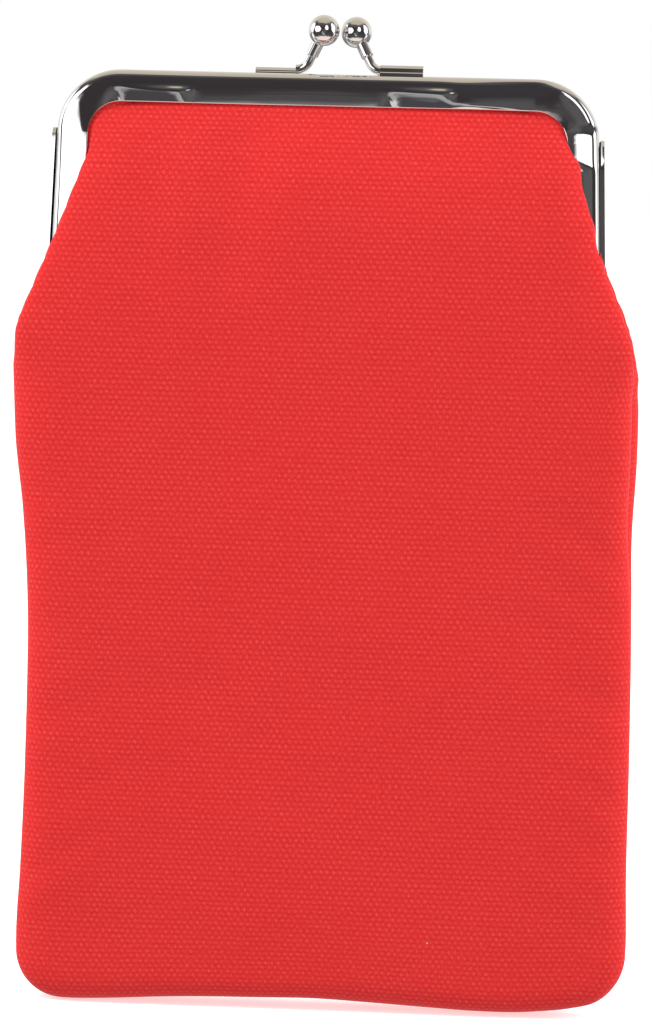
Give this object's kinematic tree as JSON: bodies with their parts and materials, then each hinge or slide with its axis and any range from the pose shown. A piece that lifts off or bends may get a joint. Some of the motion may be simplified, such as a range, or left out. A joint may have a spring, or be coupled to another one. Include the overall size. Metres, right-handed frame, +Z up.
{
  "type": "coin purse",
  "caption": "Tall padded red canvas purse hung in a two-jaw metal frame that closes with a ball kiss clasp.",
  "frame": {"origin": "on the floor, under the middle of the pouch's flat bottom", "axes": "+Z up along the purse towards the clasp, -Y towards the front, +X to the right seen from the front"},
  "size_m": [0.1168, 0.0196, 0.1866],
  "materials": {
    "nickel": "bright polished nickel plate on pressed steel",
    "canvas": "red plain-weave cotton duck, matte",
    "fleece": "soft fleece padding",
    "lining": "ecru cotton lining",
    "paper_cord": "twisted kraft paper cord",
    "red_thread": "red polyester sewing thread",
    "lining_thread": "ecru polyester sewing thread"
  },
  "bodies": {
    "pouch": {"front_canvas_lower": "canvas", "front_fleece_lower": "fleece", "front_lining_lower": "lining", "back_canvas_lower": "canvas", "back_fleece_lower": "fleece", "back_lining_lower": "lining", "canvas_seam_thread": "red_thread", "lining_seam_thread": "lining_thread"},
    "front_jaw": {"front_frame_channel": "nickel", "front_clasp_arm": "nickel", "front_clasp_ball": "nickel", "front_canvas_upper": "canvas", "front_fleece_upper": "fleece", "front_lining_upper": "lining", "front_paper_cord": "paper_cord"},
    "back_jaw": {"back_frame_channel": "nickel", "back_clasp_arm": "nickel", "back_clasp_ball": "nickel", "back_canvas_upper": "canvas", "back_fleece_upper": "fleece", "back_lining_upper": "lining", "back_paper_cord": "paper_cord", "hinge_rivet_left": "nickel", "hinge_rivet_right": "nickel"}
  },
  "joints": [
    {"name": "front_jaw_hinge", "type": "hinge", "parent": "pouch", "child": "front_jaw", "pos_m": [0, 0, 0.1256], "axis": [1, 0, 0], "range_deg": [0, 45]},
    {"name": "back_jaw_hinge", "type": "hinge", "parent": "pouch", "child": "back_jaw", "pos_m": [0, 0, 0.1256], "axis": [1, 0, 0], "range_deg": [-45, 0]}
  ],
  "couplings": [
    {"joint": "back_jaw_hinge", "follows": "front_jaw_hinge", "ratio": -1}
  ]
}
